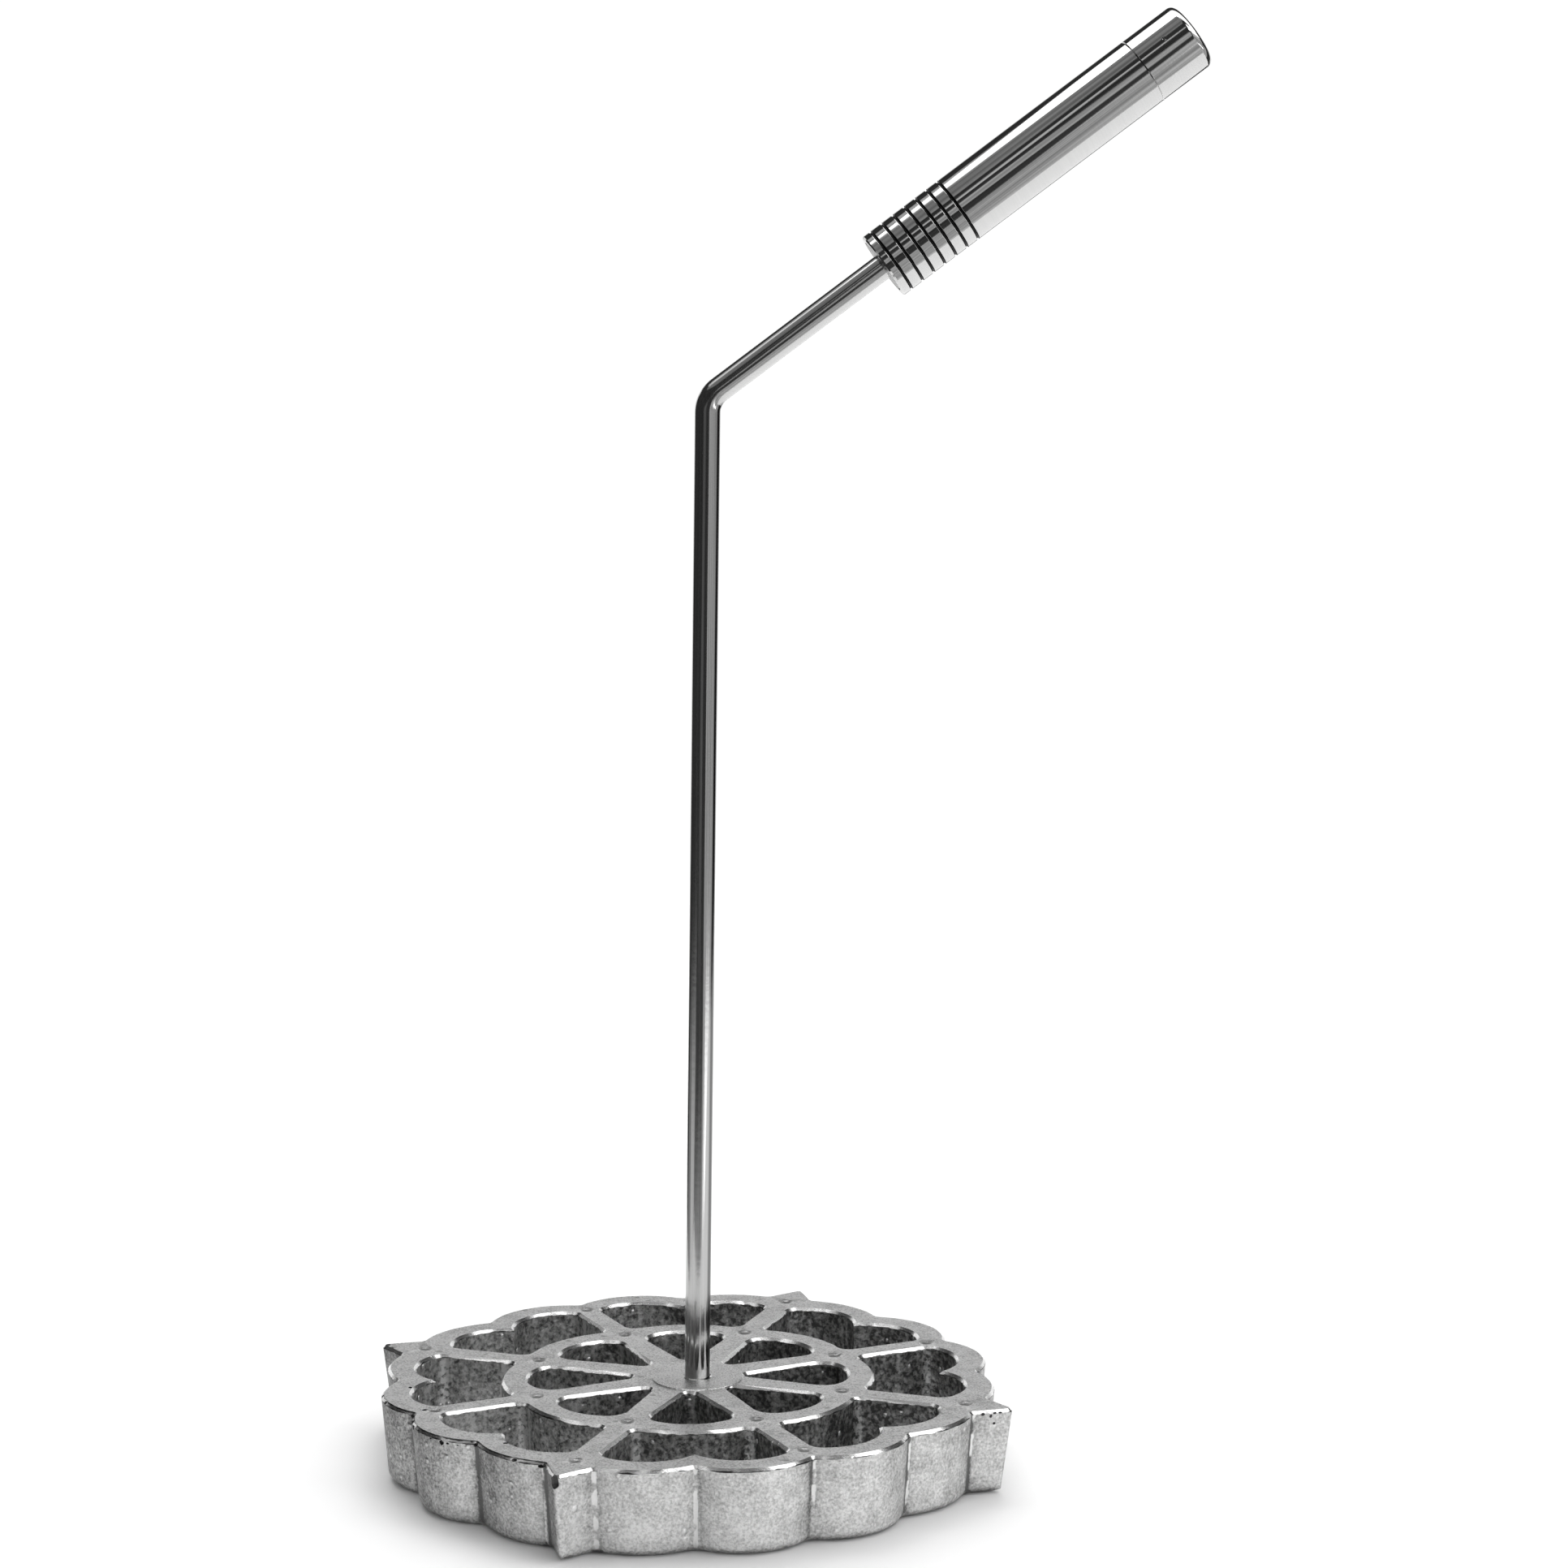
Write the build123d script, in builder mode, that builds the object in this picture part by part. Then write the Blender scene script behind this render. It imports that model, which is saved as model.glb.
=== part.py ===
from build123d import *

from math import asin, atan, cos, degrees, radians, sin, sqrt, tan
import os

# Rosette iron: an openwork cast head, a bent steel rod and a ribbed metal handle.
# Millimetres. The origin is the middle of the head's underside, +Z is up, and the
# rod bends towards +X. Every second spoke of the head runs out into a point.

os.makedirs("parts", exist_ok=True)

# Head, seen from above
spoke_count = 8
spoke_width = 4.4
valley_radius = 46.4  # outline, between two scallops
scallop_rise = 2.8  # height of a scallop over its valleys
point_rise = 4.7  # height of a point over the scallops
point_slope = 34  # between a point's side and its middle line
notch_drop = 0.3  # beside a point, below the scallops
rim_wall = 4.9  # from a scallop's top to the opening behind it
cusp_depth = 4.1  # how far the cusp between two lobes reaches inwards
ring_radius = 27.7  # middle of the ring, halfway between two spokes
ring_wall = 4.4
ring_bulge = 18.4  # radius of the ring's outer side, one lobe to each opening
end_bulge = 9.0  # radius of the inner openings' broad ends
apex_radius = 7.4  # where the two sides of an inner opening would meet

# Head, seen from the side
head_height = 13.7
outer_draft = 4.5
opening_draft = 1.5
top_edge = 0.5
outer_foot_edge = 2.0
opening_foot_edge = 0.5

# Rounded corners of the head's outline and openings
valley_corner = 0.8
tip_corner = 1.1
tip_bite = 0.03  # how far the rounding of a tip reaches into its sides
lobe_corner = 2.0
ring_corner = 1.6
end_corner = 3.0
apex_corner = 1.2

# Small round marks where spokes, ring and rim meet
mark_radius = 1.3
mark_depth = 0.35
ring_mark_inset = 1.7  # inwards from the ring's middle
point_mark_inset = 2.9  # inwards from the scallops' tops
valley_mark_inset = 3.5  # inwards from a valley on a spoke

# Raised seat and hole for the rod, a little off the middle of the head
rod_offset = 1.4  # towards the handle
rod_side_offset = -1.2  # across it
seat_radius = 7.2
seat_height = 0.15
hole_depth = 9.5
hole_mouth = 0.35
hole_mouth_angle = 90

# Rod
rod_radius = 2.0
rod_lean = 0.93  # away from upright, towards the handle
rod_height = 155.6  # from the head's top face to the bend
rod_reach = 33.7  # from the bend to the handle
bend_radius = 4.5
handle_rise = 36.5  # handle above horizontal
rod_end_chamfer = 0.4
rod_foot_gap = 0.5  # under the rod's foot in its hole
thread_clearance = 0.05
thread_runout = 1.3  # rod beyond the lock nut

# Handle
handle_radius = 5.5
handle_length = 59.2
tube_wall = 1.0
front_chamfer = 0.25
groove_count = 7
groove_start = 1.5
groove_pitch = 2.13
groove_width = 0.45
groove_depth = 0.28
press_clearance = 0.02
bush_length = 12.0
bush_chamfer = 0.4
nut_across_flats = 7.0
nut_height = 3.2
nut_bevel = 30  # of the corners, from the nut's flat ends
nut_face_inset = 0.15
cap_length = 9.6
cap_edge = 1.1
spigot_length = 8.0
spigot_chamfer = 0.5
seam_chamfer = 0.12

# Sizes that follow from the ones above
half_sector = 180 / spoke_count  # from a spoke to the middle of an opening
quarter_sector = half_sector / 2
scallop_radius = valley_radius + scallop_rise
point_radius = scallop_radius + point_rise
notch_radius = scallop_radius - notch_drop
tip_middle = point_radius - tip_corner
sharp_radius = tip_middle + (tip_corner - tip_bite) / sin(radians(point_slope))
tip_lean = atan(tan(radians(outer_draft)) / sin(radians(point_slope)))
lobe_radius = scallop_radius - rim_wall
cusp_radius = lobe_radius - cusp_depth
ring_outer = ring_radius + ring_wall / 2
ring_inner = ring_radius - ring_wall / 2
handle_bore = handle_radius - tube_wall
plug_radius = handle_bore - press_clearance
hole_radius = rod_radius + thread_clearance
tube_length = handle_length - cap_length

top = Plane.XY.offset(head_height)


def polar(radius, angle):
    return Vector(radius * cos(radians(angle)), radius * sin(radians(angle)))


def polar_arc(*places):
    # through three places, each a radius and an angle
    ThreePointArc(*[polar(radius, angle) for radius, angle in places])


# The spoke beside an opening that lies along +X
spoke_along = polar(1, half_sector)
spoke_across = polar(1, half_sector - 90)


def spoke_crossing(middle, radius):
    # where the outer part of a circle meets the side of that spoke
    away = middle.dot(spoke_across) - spoke_width / 2
    along = middle.dot(spoke_along) + sqrt(radius**2 - away**2)
    return spoke_along * along + spoke_across * (spoke_width / 2)


with BuildSketch() as outline:
    with BuildLine():
        notch_turn = asin(sharp_radius / notch_radius * sin(radians(point_slope)))
        notch_angle = degrees(notch_turn) - point_slope
        for point in range(spoke_count // 2):
            axis = (4 * point - 1) * half_sector
            for way in (-1, 1):
                notch = (notch_radius, axis + way * notch_angle)
                shoulder = (scallop_radius, axis + way * quarter_sector)
                middle_valley = (valley_radius, axis + way * half_sector)
                crown = (scallop_radius, axis + way * 3 * quarter_sector)
                spoke_valley = (valley_radius, axis + way * 2 * half_sector)
                Line(polar(sharp_radius, axis), polar(*notch))
                polar_arc(notch, shoulder, middle_valley)
                polar_arc(middle_valley, crown, spoke_valley)
    make_face()
    corners = outline.vertices().sort_by(SortBy.DISTANCE)
    fillet(corners[: -(spoke_count // 2)], valley_corner)

with BuildSketch() as outer_opening:
    # a heart-like opening: the ring's bulge, two spoke sides and two lobes with a cusp
    with BuildLine():
        cusp = polar(cusp_radius, 0)
        crown = polar(lobe_radius, quarter_sector)
        lobe_fall = lobe_radius - cusp_radius * cos(radians(quarter_sector))
        lobe_middle = (lobe_radius**2 - cusp_radius**2) / (2 * lobe_fall)
        lobe_end = spoke_crossing(polar(lobe_middle, quarter_sector), lobe_radius - lobe_middle)
        ring_end = spoke_crossing(polar(ring_outer - ring_bulge, 0), ring_bulge)
        ThreePointArc(cusp, crown, lobe_end)
        Line(lobe_end, ring_end)
        mirror(about=Plane.XZ)
        ThreePointArc(ring_end, polar(ring_outer, 0), (ring_end.X, -ring_end.Y))
    make_face()
    fillet(outer_opening.vertices().sort_by(Axis.X)[:2], ring_corner)
    sideways = outer_opening.vertices().sort_by(Axis.Y)
    fillet([sideways[0], sideways[-1]], lobe_corner)

with BuildSketch() as inner_opening:
    # a teardrop: narrow at the hub, broad and blunt at the ring
    with BuildLine():
        apex = polar(apex_radius, 0)
        broad_end = spoke_crossing(polar(ring_inner - end_bulge, 0), end_bulge)
        Line(apex, broad_end)
        mirror(about=Plane.XZ)
        ThreePointArc(broad_end, polar(ring_inner, 0), (broad_end.X, -broad_end.Y))
    make_face()
    fillet(inner_opening.vertices().sort_by(Axis.X)[-2:], end_corner)
    fillet(inner_opening.vertices().sort_by(Axis.X)[0], apex_corner)

# The rod's line: up from its foot, leaning a little, then over towards the handle
lean_way = Vector(sin(radians(rod_lean)), 0, cos(radians(rod_lean)))
rise_way = Vector(cos(radians(handle_rise)), 0, sin(radians(handle_rise)))
seat_middle = (rod_offset, rod_side_offset)
rod_seat = Plane(origin=(*seat_middle, head_height), x_dir=(0, 1, 0), z_dir=lean_way)
bend = rod_seat.origin + lean_way * (rod_height / lean_way.Z)
handle_front = Plane(origin=bend + rise_way * rod_reach, x_dir=(0, 1, 0), z_dir=rise_way)
rod_grip = bush_length + nut_height + thread_runout  # length of rod inside the handle
nut_middle = handle_front.offset(bush_length + nut_height / 2)

with BuildPart() as head:
    with BuildSketch(top):
        add(outline.sketch)
    extrude(amount=-head_height, taper=outer_draft)
    fillet(head.faces().sort_by(Axis.Z)[0].edges(), outer_foot_edge)

    # each point's tip is rounded all along its edge, which leans inwards
    tip_planes = []
    for point in range(spoke_count // 2):
        outward = polar(1, (4 * point - 1) * half_sector)
        edge_way = outward * sin(tip_lean) + Vector(0, 0, cos(tip_lean))
        tip_edge = outward * tip_middle + Vector(0, 0, head_height)
        tip_planes.append(Plane(origin=tip_edge, x_dir=outward, z_dir=edge_way))
    tip_side = (sharp_radius - tip_middle) * sin(radians(point_slope)) ** 2
    with BuildSketch(*tip_planes):
        with Locations((tip_side, 0)):
            Rectangle(2 * tip_corner, 4 * tip_corner, align=(Align.MIN, Align.CENTER))
        Circle(tip_corner, mode=Mode.SUBTRACT)
    extrude(amount=2 * head_height, both=True, mode=Mode.SUBTRACT)

    with BuildSketch(top):
        with PolarLocations(0, spoke_count):
            add(outer_opening.sketch)
            add(inner_opening.sketch)
    extrude(amount=-head_height, taper=-opening_draft, mode=Mode.SUBTRACT)
    chamfer(head.faces().sort_by(Axis.Z)[-1].edges(), top_edge)
    fillet(head.faces().sort_by(Axis.Z)[0].inner_wires().edges(), opening_foot_edge)

    # shallow round marks: a ball's cap cut into the top face at each crossing
    mark_ball = (mark_radius**2 + mark_depth**2) / (2 * mark_depth)
    mark_circles = (
        (ring_radius - ring_mark_inset, spoke_count, half_sector),
        (scallop_radius - point_mark_inset, spoke_count // 2, -half_sector),
        (valley_radius - valley_mark_inset, spoke_count // 2, half_sector),
    )
    for circle_radius, count, first_angle in mark_circles:
        with Locations(top.offset(mark_ball - mark_depth)):
            with PolarLocations(circle_radius, count, start_angle=first_angle):
                Sphere(mark_ball, mode=Mode.SUBTRACT)

    # the rod's seat and hole
    with BuildSketch(top):
        with Locations(seat_middle):
            Circle(seat_radius)
    extrude(amount=seat_height)
    with Locations(rod_seat.offset(seat_height)):
        CounterSinkHole(hole_radius, hole_radius + hole_mouth, hole_depth, hole_mouth_angle)
head.part.label = "rosette_head"
export_step(head.part, "parts/rosette_head.step")

with BuildPart() as rod:
    foot_point = rod_seat.origin - lean_way * (hole_depth - seat_height - rod_foot_gap)
    tail_point = handle_front.origin + rise_way * rod_grip
    with BuildLine() as rod_line:
        FilletPolyline(foot_point, bend, tail_point, radius=bend_radius)
    with BuildSketch(Plane(origin=foot_point, x_dir=(0, 1, 0), z_dir=lean_way)):
        Circle(rod_radius)
    sweep(path=rod_line.line)
    chamfer(rod.faces().filter_by(GeomType.PLANE).edges(), rod_end_chamfer)
rod.part.label = "bent_rod"
export_step(rod.part, "parts/bent_rod.step")

with BuildPart() as tube:
    with BuildSketch(handle_front):
        Circle(handle_radius)
    extrude(amount=tube_length)
    chamfer(tube.faces().sort_by(Axis(handle_front.origin, rise_way))[0].edges(), front_chamfer)
    chamfer(tube.faces().sort_by(Axis(handle_front.origin, rise_way))[-1].edges(), seam_chamfer)
    with BuildSketch(handle_front):
        Circle(handle_bore)
    extrude(amount=tube_length, mode=Mode.SUBTRACT)
    # seven round-bottomed rings near the front
    groove_ball = (groove_width**2 / 4 + groove_depth**2) / (2 * groove_depth)
    for groove in range(groove_count):
        with Locations(handle_front.offset(groove_start + groove * groove_pitch)):
            Torus(handle_radius + groove_ball - groove_depth, groove_ball, mode=Mode.SUBTRACT)
tube.part.label = "handle_tube"
export_step(tube.part, "parts/handle_tube.step")

with BuildPart() as bush:
    with BuildSketch(handle_front):
        Circle(plug_radius)
    extrude(amount=bush_length)
    chamfer(bush.edges(), bush_chamfer)
    with BuildSketch(handle_front):
        Circle(hole_radius)
    extrude(amount=bush_length, mode=Mode.SUBTRACT)
bush.part.label = "front_bush"
export_step(bush.part, "parts/front_bush.step")

with BuildPart() as nut:
    with BuildSketch(nut_middle):
        RegularPolygon(nut_across_flats / 2, 6, major_radius=False)
    extrude(amount=nut_height / 2, both=True)
    # both ends are turned down to a circle, which cuts the corners
    with BuildSketch(nut_middle):
        Circle(nut_across_flats / 2 - nut_face_inset + nut_height / 2 / tan(radians(nut_bevel)))
    extrude(amount=nut_height / 2, both=True, taper=90 - nut_bevel, mode=Mode.INTERSECT)
    with BuildSketch(nut_middle):
        Circle(hole_radius)
    extrude(amount=nut_height / 2, both=True, mode=Mode.SUBTRACT)
nut.part.label = "lock_nut"
export_step(nut.part, "parts/lock_nut.step")

with BuildPart() as cap:
    with BuildSketch(handle_front.offset(tube_length)):
        Circle(handle_radius)
    extrude(amount=cap_length)
    fillet(cap.faces().sort_by(Axis(handle_front.origin, rise_way))[-1].edges(), cap_edge)
    chamfer(cap.faces().sort_by(Axis(handle_front.origin, rise_way))[0].edges(), seam_chamfer)
    with BuildSketch(handle_front.offset(tube_length)):
        Circle(plug_radius)
    extrude(amount=-spigot_length)
    chamfer(cap.faces().sort_by(Axis(handle_front.origin, rise_way))[0].edges(), spigot_chamfer)
cap.part.label = "end_cap"
export_step(cap.part, "parts/end_cap.step")
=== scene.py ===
import random
from math import atan2, cos, degrees, hypot, pi, radians, sin, tan

import bmesh
import bpy
from mathutils import Matrix, Vector, noise


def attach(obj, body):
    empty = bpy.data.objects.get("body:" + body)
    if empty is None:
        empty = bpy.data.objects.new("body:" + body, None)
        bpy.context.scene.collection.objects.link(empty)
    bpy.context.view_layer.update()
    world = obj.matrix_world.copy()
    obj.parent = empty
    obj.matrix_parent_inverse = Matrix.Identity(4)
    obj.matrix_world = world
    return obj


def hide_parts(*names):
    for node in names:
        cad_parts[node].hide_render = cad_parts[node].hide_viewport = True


# Rosette iron: cast aluminium head, bent steel rod, turned and chromed handle.
# Metres, Z up, the origin is the middle of the head's underside, the handle leans to +X.

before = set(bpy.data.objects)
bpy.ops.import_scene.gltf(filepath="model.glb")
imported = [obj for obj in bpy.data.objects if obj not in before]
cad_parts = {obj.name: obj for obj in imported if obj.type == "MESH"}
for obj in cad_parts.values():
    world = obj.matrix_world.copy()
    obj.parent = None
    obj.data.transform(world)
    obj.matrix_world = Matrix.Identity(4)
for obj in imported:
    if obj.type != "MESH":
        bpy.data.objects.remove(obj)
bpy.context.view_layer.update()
mm = 0.001

# The rod's line, which the head and the handle share, as in the solid model
line = {
    "topZ": 13.7 * mm,  # the head's ground top face
    "foot": Vector((1.4, -1.2, 13.7)) * mm,  # where the rod meets that face
    "lean": radians(0.93),
    "rise": radians(36.5),  # handle above horizontal
    "height": 155.6 * mm,  # from the top face to the bend
    "reach": 33.7 * mm,  # from the bend to the handle
    "bendRadius": 4.5 * mm,
}
leanWay = Vector((sin(line["lean"]), 0, cos(line["lean"])))
riseWay = Vector((cos(line["rise"]), 0, sin(line["rise"])))
bendPoint = line["foot"] + leanWay * (line["height"] / leanWay.z)
handleFront = bendPoint + riseWay * line["reach"]


# Small helpers for node trees
def addNode(tree, kind, inputs=None, **settings):
    node = tree.nodes.new("ShaderNode" + kind)
    for key, value in settings.items():
        setattr(node, key, value)
    for key, value in (inputs or {}).items():
        if isinstance(value, bpy.types.NodeSocket):
            tree.links.new(value, node.inputs[key])
        else:
            node.inputs[key].default_value = value
    return node


def combine(tree, operation, first, second=0.0):
    return addNode(tree, "Math", {0: first, 1: second}, operation=operation).outputs[0]


def multiply(tree, product, *others):
    for other in others:
        product = combine(tree, "MULTIPLY", product, other)
    return product


def addUp(tree, *parts):
    total = 0.0
    for value, share in parts:
        total = addNode(tree, "Math", {0: value, 1: share, 2: total}, operation="MULTIPLY_ADD").outputs[0]
    return total


def awayFrom(tree, value, target):
    return combine(tree, "ABSOLUTE", combine(tree, "SUBTRACT", value, target))


def fade(tree, value, low, high, atLow=0.0, atHigh=1.0):
    # goes smoothly from one value to the other while the input goes from low to high
    inputs = {"Value": value, "From Min": low, "From Max": high, "To Min": atLow, "To Max": atHigh}
    return addNode(tree, "MapRange", inputs, interpolation_type="SMOOTHSTEP").outputs["Result"]


def noiseOf(tree, vector, scale, detail=2.0, roughness=0.5):
    inputs = {"Vector": vector, "Scale": scale, "Detail": detail, "Roughness": roughness}
    return addNode(tree, "TexNoise", inputs).outputs[0]


def driftOf(tree, vector, scale):
    # noise about zero
    return combine(tree, "SUBTRACT", noiseOf(tree, vector, scale), 0.5)


def split(tree, vector):
    return addNode(tree, "SeparateXYZ", {0: vector}).outputs


def lengthOf(tree, x, y):
    flat = addNode(tree, "CombineXYZ", {0: x, 1: y}).outputs[0]
    return addNode(tree, "VectorMath", {0: flat}, operation="LENGTH").outputs["Value"]


def objectPlace(tree):
    return addNode(tree, "TexCoord").outputs["Object"]


def straightPlace(tree):
    # the place on a turned or drawn piece as if it lay straight along X
    return addNode(tree, "Attribute", attribute_name="straight").outputs["Vector"]


def facingOf(tree):
    return split(tree, addNode(tree, "TexCoord").outputs["Normal"])


def newGroup(name, numbers, results):
    # a node group that reads a vector and some numbers and puts out masks
    tree = bpy.data.node_groups.new(name, "ShaderNodeTree")
    tree.interface.new_socket("Vector", in_out="INPUT", socket_type="NodeSocketVector")
    for socketName, value in numbers.items():
        socket = tree.interface.new_socket(socketName, in_out="INPUT", socket_type="NodeSocketFloat")
        socket.default_value = value
    for socketName in results:
        tree.interface.new_socket(socketName, in_out="OUTPUT", socket_type="NodeSocketFloat")
    return tree, tree.nodes.new("NodeGroupInput").outputs, tree.nodes.new("NodeGroupOutput").inputs


def putOut(tree, result, **masks):
    for name, value in masks.items():
        tree.links.new(value, result[name])
    return tree


def useGroup(tree, group, vector, **numbers):
    node = tree.nodes.new("ShaderNodeGroup")
    node.node_tree = group
    tree.links.new(vector, node.inputs["Vector"])
    for key, value in numbers.items():
        node.inputs[key].default_value = value
    return node.outputs


def newMaterial(name, metallic=1.0):
    material = bpy.data.materials.new(name)
    material.use_nodes = True
    tree = material.node_tree
    shader = tree.nodes["Principled BSDF"]
    shader.inputs["Metallic"].default_value = metallic
    return material, tree, shader


def show(item):
    bpy.context.scene.collection.objects.link(item)


# Camera
view = {
    "place": Vector((-12.05, -567.7, 182.7)) * mm,
    "turn": radians(2.79),  # to the right of +Y
    "tilt": radians(7.39),  # below the horizon
    "roll": radians(-0.16),
    "lens": 83.85,
    "sensor": 36.0,
    "clipStart": 10 * mm,
}


def makeCamera():
    data = bpy.data.cameras.new("camera")
    data.lens = view["lens"]
    data.sensor_width = view["sensor"]
    data.clip_start = view["clipStart"]
    camera = bpy.data.objects.new("camera", data)
    turn = Matrix.Rotation(-view["turn"], 4, "Z")
    tilt = Matrix.Rotation(pi / 2 - view["tilt"], 4, "X")
    roll = Matrix.Rotation(view["roll"], 4, "Z")
    camera.matrix_world = Matrix.Translation(view["place"]) @ turn @ tilt @ roll
    show(camera)
    bpy.context.scene.camera = camera


makeCamera()
print("camera made")


# Room: a white sweep, one light overhead and one behind, and the walls that the metal reflects
room = {
    "sweep": ((-0.12, -0.12), (0.36, 0.60)),  # its corners, x and y
    "sweepColor": (0.90, 0.90, 0.90, 1),
    "sweepRoughness": 0.7,
    "sweepShine": 0.1,
    "pale": (0.50, 1.10),  # light from all sides, at the left and at the right
    "paleSides": (-0.9, 0.9),  # x of the directions between which it goes from one to the other
    "spared": 0.85,  # share of that light that the metal doesn't throw on the floor
    "beyond": 1.3,  # what the eye sees past the sweep
    # place, size, turn about the vertical or what it looks at, power, whether metal mirrors it
    "lights": (
        ((0.25, 0.025, 0.75), (1.12, 0.44), radians(-19), 2.7, True),  # overhead
        ((-0.14, 0.92, 1.04), (1.2, 1.2), (0, 0, 0), 10.0, False),  # from behind, for the shadows
    ),
    "dark": 0.045,  # the room in reflections, away from the patches below
    # azimuth of the patch's middle and half its width, its lowest and highest elevation, brightness
    "patches": (
        (88, 42, -12, 20, 1.18),  # pale wall behind
        (-32, 42, -65, 4, 0.56),  # grey wall at the right
        (-45, 26, -65, -28, 0.68),  # its foot
        (-34, 17, -17, -11.6, 3.4),  # low panel at the right
        (-56, 8, -18, -12, 1.5),  # its lower left end
        (-172, 36, -18, -10, 0.42),  # table at the left
        (-159, 18, -18, -10.8, 1.1),  # its lit part
        (-32, 34, 24, 50, 2.5),  # window at the right
        (-38, 34, 7, 24, 0.72),  # wall below it
        (-74, 10, 27, 52, 3.2),  # window behind the camera
        (-88, 7.5, 4, 17, 0.60),  # lamp behind the camera
        (-104, 2.2, 25, 33, 1.2),  # its stand
        (-146, 31, 38, 64, 0.30),  # grey ceiling at the left
        (-150, 30, 66, 80, 1.0),  # its lit part
        (-100, 26, 67, 84, 0.6),  # ceiling above the camera
        (176, 14, 44, 66, 1.1),  # pale ceiling behind that
        (153, 24, 49, 64, 0.50),  # paler ceiling beside the overhead light
        (-114, 12, -10, 6, 0.15),  # work table
        (-108, 36, -22, -13, 0.55),  # floor before the camera
    ),
    "edgeAzimuth": 2.0,  # how softly the patches end, in degrees
    "edgeElevation": 1.5,
    "unevenness": (0.35, 0.65, 0.66, 1.34),  # nothing in a room is one flat grey
    "unevenNoise": (9.0, 3.0, 0.7),  # scale, detail and roughness
}


def makeSweep():
    (left, front), (right, back) = room["sweep"]
    bm = bmesh.new()
    bmesh.ops.create_grid(bm, x_segments=1, y_segments=1, size=0.5)
    bmesh.ops.scale(bm, vec=(right - left, back - front, 1), verts=bm.verts)
    bmesh.ops.translate(bm, vec=((left + right) / 2, (front + back) / 2, 0), verts=bm.verts)
    mesh = bpy.data.meshes.new("sweep")
    bm.to_mesh(mesh)
    bm.free()
    sweep = bpy.data.objects.new("sweep", mesh)
    show(sweep)
    material, tree, shader = newMaterial("paleSweep", metallic=0.0)
    shader.inputs["Base Color"].default_value = room["sweepColor"]
    shader.inputs["Roughness"].default_value = room["sweepRoughness"]
    shader.inputs["Specular IOR Level"].default_value = room["sweepShine"]
    mesh.materials.append(material)


def addLights():
    for place, size, aim, watts, mirrored in room["lights"]:
        data = bpy.data.lights.new("softLight", "AREA")
        data.shape = "RECTANGLE"
        data.size, data.size_y = size
        data.energy = watts
        light = bpy.data.objects.new("softLight", data)
        light.location = place
        if isinstance(aim, tuple):
            light.rotation_euler = (Vector(aim) - Vector(place)).to_track_quat("-Z", "Y").to_euler()
        else:
            light.rotation_euler = (0, 0, aim)
        light.visible_glossy = mirrored
        light.visible_camera = False
        show(light)


def patchOf(tree, way, elevation, middle, half, low, high, value):
    # one lit or grey place of the room, with soft edges
    edgeA, edgeE = room["edgeAzimuth"], room["edgeElevation"]
    east, north = cos(radians(middle)), sin(radians(middle))
    across = addUp(tree, (way["X"], -north), (way["Y"], east))
    along = addUp(tree, (way["X"], east), (way["Y"], north))
    turn = multiply(tree, combine(tree, "ABSOLUTE", combine(tree, "ARCTAN2", across, along)), degrees(1))
    inside = fade(tree, turn, half - edgeA, half + edgeA, 1.0, 0.0)
    above = fade(tree, elevation, low - edgeE, low + edgeE)
    below = fade(tree, elevation, high - edgeE, high + edgeE, 1.0, 0.0)
    return multiply(tree, inside, above, below, value)


def makeWorld():
    world = bpy.data.worlds.new("room")
    bpy.context.scene.world = world
    world.use_nodes = True
    tree = world.node_tree
    tree.nodes.clear()
    direction = addNode(tree, "TexCoord").outputs["Generated"]
    way = split(tree, direction)
    elevation = multiply(tree, combine(tree, "ARCSINE", way["Z"]), degrees(1))
    brightness = room["dark"]
    for patch in room["patches"]:
        brightness = combine(tree, "MAXIMUM", brightness, patchOf(tree, way, elevation, *patch))
    blotches = noiseOf(tree, direction, *room["unevenNoise"])
    brightness = multiply(tree, brightness, fade(tree, blotches, *room["unevenness"]))
    reflected = addNode(tree, "Background", {"Strength": brightness})
    rays = addNode(tree, "LightPath").outputs
    # the metal mirrors the patches to the eye, but throws little light on the floor
    thrown = combine(tree, "SUBTRACT", 1.0, multiply(tree, rays["Is Glossy Ray"], room["spared"]))
    light = multiply(tree, fade(tree, way["X"], *room["paleSides"], *room["pale"]), thrown)
    pale = addNode(tree, "Background", {"Strength": light})
    seen = addNode(tree, "Background", {"Strength": room["beyond"]})
    plain = addNode(tree, "MixShader", {0: rays["Is Camera Ray"], 1: pale.outputs[0], 2: seen.outputs[0]})
    unspread = combine(tree, "LESS_THAN", rays["Diffuse Depth"], 0.5)
    mirrored = multiply(tree, rays["Is Glossy Ray"], unspread)
    mixed = addNode(tree, "MixShader", {0: mirrored, 1: plain.outputs[0], 2: reflected.outputs[0]})
    addNode(tree, "OutputWorld", {"Surface": mixed.outputs[0]})


makeSweep()
makeWorld()
addLights()
bpy.context.scene.view_settings.view_transform = "Standard"
print("room made")


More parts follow.
